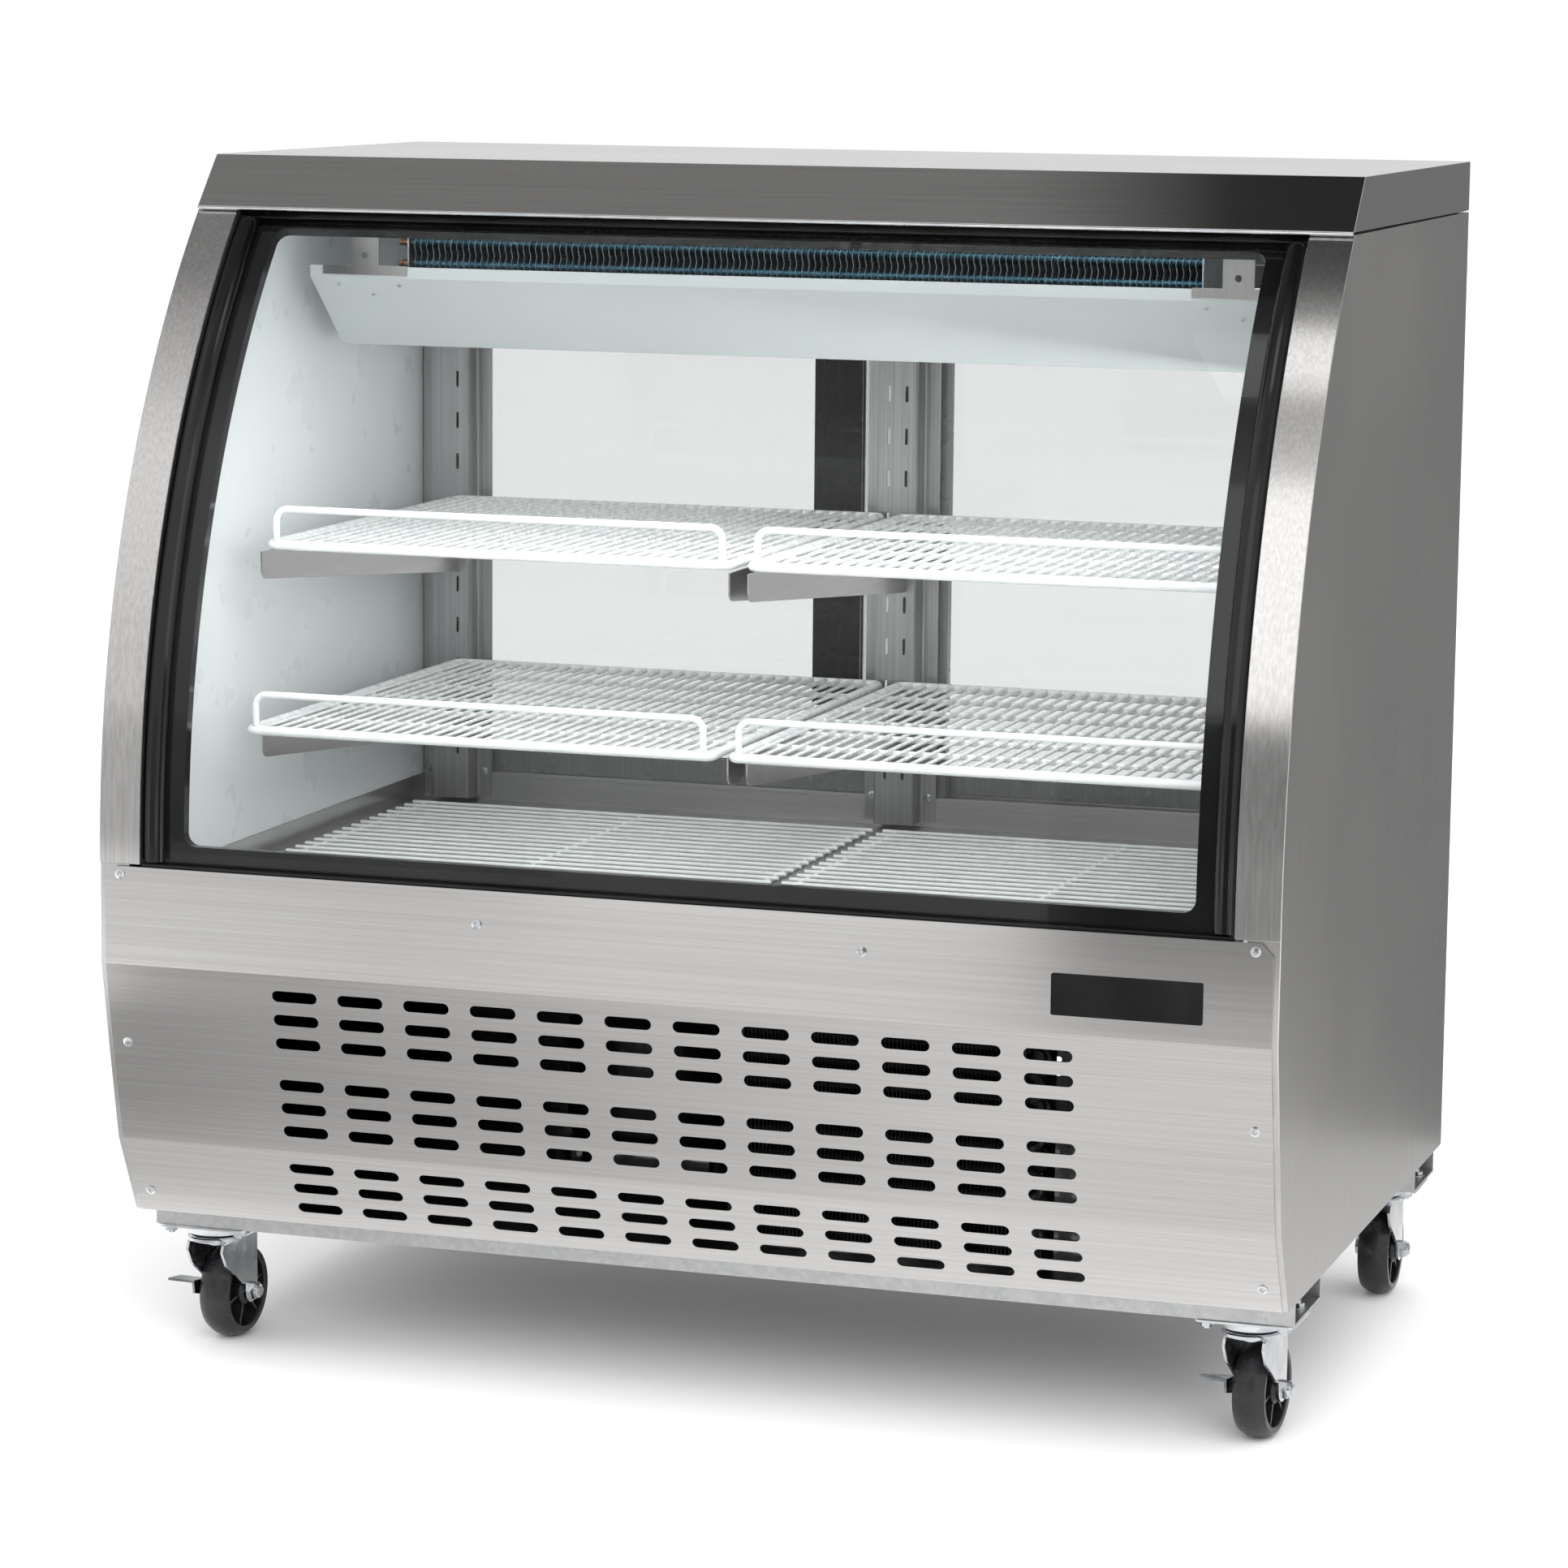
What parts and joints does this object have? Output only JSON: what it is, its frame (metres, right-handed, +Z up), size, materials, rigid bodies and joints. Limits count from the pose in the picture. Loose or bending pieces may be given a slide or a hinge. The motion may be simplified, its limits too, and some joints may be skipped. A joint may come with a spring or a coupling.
{
  "type": "refrigerated deli case",
  "caption": "Refrigerated deli case with a curved double glass front, rear sliding doors, wire shelves and a slotted machine base on swivel casters.",
  "frame": {"origin": "on the floor under the middle of the case's overall box", "axes": "+Z up, +X along the case to the customer's right, -Y towards the customer's glass front"},
  "size_m": [1.2, 0.836, 1.22],
  "materials": {
    "stainless": "brushed stainless sheet",
    "liner_white": "smooth white coated sheet",
    "foam": "rigid foam",
    "clear_glass": "clear polished",
    "black_trim": "gloss black",
    "black_plastic": "matt black",
    "white_wire": "white plastic coated wire",
    "galvanised": "galvanised sheet",
    "zinc_plate": "bright zinc plated",
    "aluminium_fin": "plain fins",
    "copper": "plain copper tube",
    "compressor_paint": "satin black enamel",
    "door_trim": "dark grey profile",
    "caster_rubber": "solid black tread",
    "lamp": "opal diffuser",
    "button_grey": "soft touch"
  },
  "bodies": {
    "cabinet": {"side_panel_left": "stainless", "side_panel_right": "stainless", "insulation": "foam", "inner_liner": "liner_white", "front_glass_outer": "clear_glass", "front_glass_inner": "clear_glass", "glass_spacer": "black_trim", "glass_seals": "black_trim", "glass_channels": "black_trim", "top_cap": "stainless", "front_panel": "stainless", "case_screws": "zinc_plate", "badge_plate": "black_trim", "base_pan": "galvanised", "base_rails": "galvanised", "floor_tub": "stainless", "floor_rack_left": "white_wire", "floor_rack_right": "white_wire", "shelf_upper_left": "white_wire", "shelf_upper_right": "white_wire", "shelf_lower_left": "white_wire", "shelf_lower_right": "white_wire", "shelf_guards": "white_wire", "shelf_brackets": "stainless", "shelf_posts": "stainless", "evaporator_coil": "aluminium_fin", "drip_pan": "liner_white", "drip_pan_hangers": "stainless", "light_tube": "lamp", "rear_frame": "stainless", "rear_panel": "galvanised", "controller": "black_plastic", "switch_housing": "black_plastic", "power_inlet": "black_plastic", "compressor": "compressor_paint", "condenser_coil": "aluminium_fin", "fan_shroud": "galvanised", "fan_motor": "galvanised", "copper_lines": "copper", "caster_plates": "zinc_plate", "caster_bolts": "zinc_plate"},
    "door_left": {"door_frame_left": "door_trim", "door_glass_left": "clear_glass"},
    "door_right": {"door_frame_right": "door_trim", "door_glass_right": "clear_glass"},
    "button_set": {"button_set": "button_grey"},
    "button_up": {"button_up": "button_grey"},
    "button_down": {"button_down": "button_grey"},
    "light_rocker": {"light_switch": "black_plastic"},
    "fan": {"condenser_fan": "black_plastic"},
    "caster_front_left": {"fork_front_left": "zinc_plate"},
    "caster_front_right": {"fork_front_right": "zinc_plate"},
    "caster_rear_left": {"fork_rear_left": "zinc_plate"},
    "caster_rear_right": {"fork_rear_right": "zinc_plate"},
    "wheel_front_left": {"wheel_front_left": "caster_rubber"},
    "wheel_front_right": {"wheel_front_right": "caster_rubber"},
    "wheel_rear_left": {"wheel_rear_left": "caster_rubber"},
    "wheel_rear_right": {"wheel_rear_right": "caster_rubber"},
    "brake_front_left": {"brake_front_left": "zinc_plate"},
    "brake_front_right": {"brake_front_right": "zinc_plate"}
  },
  "joints": [
    {"name": "door_left_slide", "type": "slide", "parent": "cabinet", "child": "door_left", "axis": [1, 0, 0], "range_m": [0, 0.508]},
    {"name": "door_right_slide", "type": "slide", "parent": "cabinet", "child": "door_right", "axis": [1, 0, 0], "range_m": [-0.441, 0.067]},
    {"name": "swivel_front_left", "type": "hinge", "parent": "cabinet", "child": "caster_front_left", "pos_m": [-0.547, -0.26, 0.115], "axis": [0, 0, 1], "continuous": true},
    {"name": "wheel_spin_front_left", "type": "hinge", "parent": "caster_front_left", "child": "wheel_front_left", "pos_m": [-0.54449, -0.22409, 0.05], "axis": [0.9976, -0.0698, 0], "continuous": true},
    {"name": "brake_front_left_press", "type": "hinge", "parent": "caster_front_left", "child": "brake_front_left", "pos_m": [-0.54449, -0.22409, 0.05], "axis": [0.9976, -0.0698, 0], "range_deg": [0, 14]},
    {"name": "swivel_front_right", "type": "hinge", "parent": "cabinet", "child": "caster_front_right", "pos_m": [0.547, -0.26, 0.115], "axis": [0, 0, 1], "continuous": true},
    {"name": "wheel_spin_front_right", "type": "hinge", "parent": "caster_front_right", "child": "wheel_front_right", "pos_m": [0.55014, -0.22414, 0.05], "axis": [0.9962, -0.0872, 0], "continuous": true},
    {"name": "brake_front_right_press", "type": "hinge", "parent": "caster_front_right", "child": "brake_front_right", "pos_m": [0.55014, -0.22414, 0.05], "axis": [0.9962, -0.0872, 0], "range_deg": [0, 14]},
    {"name": "swivel_rear_left", "type": "hinge", "parent": "cabinet", "child": "caster_rear_left", "pos_m": [-0.547, 0.33, 0.115], "axis": [0, 0, 1], "continuous": true},
    {"name": "wheel_spin_rear_left", "type": "hinge", "parent": "caster_rear_left", "child": "wheel_rear_left", "pos_m": [-0.547, 0.366, 0.05], "axis": [1, 0, 0], "continuous": true},
    {"name": "swivel_rear_right", "type": "hinge", "parent": "cabinet", "child": "caster_rear_right", "pos_m": [0.547, 0.33, 0.115], "axis": [0, 0, 1], "continuous": true},
    {"name": "wheel_spin_rear_right", "type": "hinge", "parent": "caster_rear_right", "child": "wheel_rear_right", "pos_m": [0.547, 0.366, 0.05], "axis": [1, 0, 0], "continuous": true},
    {"name": "condenser_fan_spin", "type": "hinge", "parent": "cabinet", "child": "fan", "pos_m": [0.19, -0.258, 0.289], "axis": [0, 1, 0], "continuous": true},
    {"name": "button_set_press", "type": "slide", "parent": "cabinet", "child": "button_set", "axis": [0, -1, 0], "range_m": [0, 0.001], "stiffness_N_per_m": 300},
    {"name": "button_up_press", "type": "slide", "parent": "cabinet", "child": "button_up", "axis": [0, -1, 0], "range_m": [0, 0.001], "stiffness_N_per_m": 300},
    {"name": "button_down_press", "type": "slide", "parent": "cabinet", "child": "button_down", "axis": [0, -1, 0], "range_m": [0, 0.001], "stiffness_N_per_m": 300},
    {"name": "light_switch_rock", "type": "hinge", "parent": "cabinet", "child": "light_rocker", "pos_m": [0.23, 0.409, 0.384], "axis": [1, 0, 0], "range_deg": [0, 12]}
  ]
}
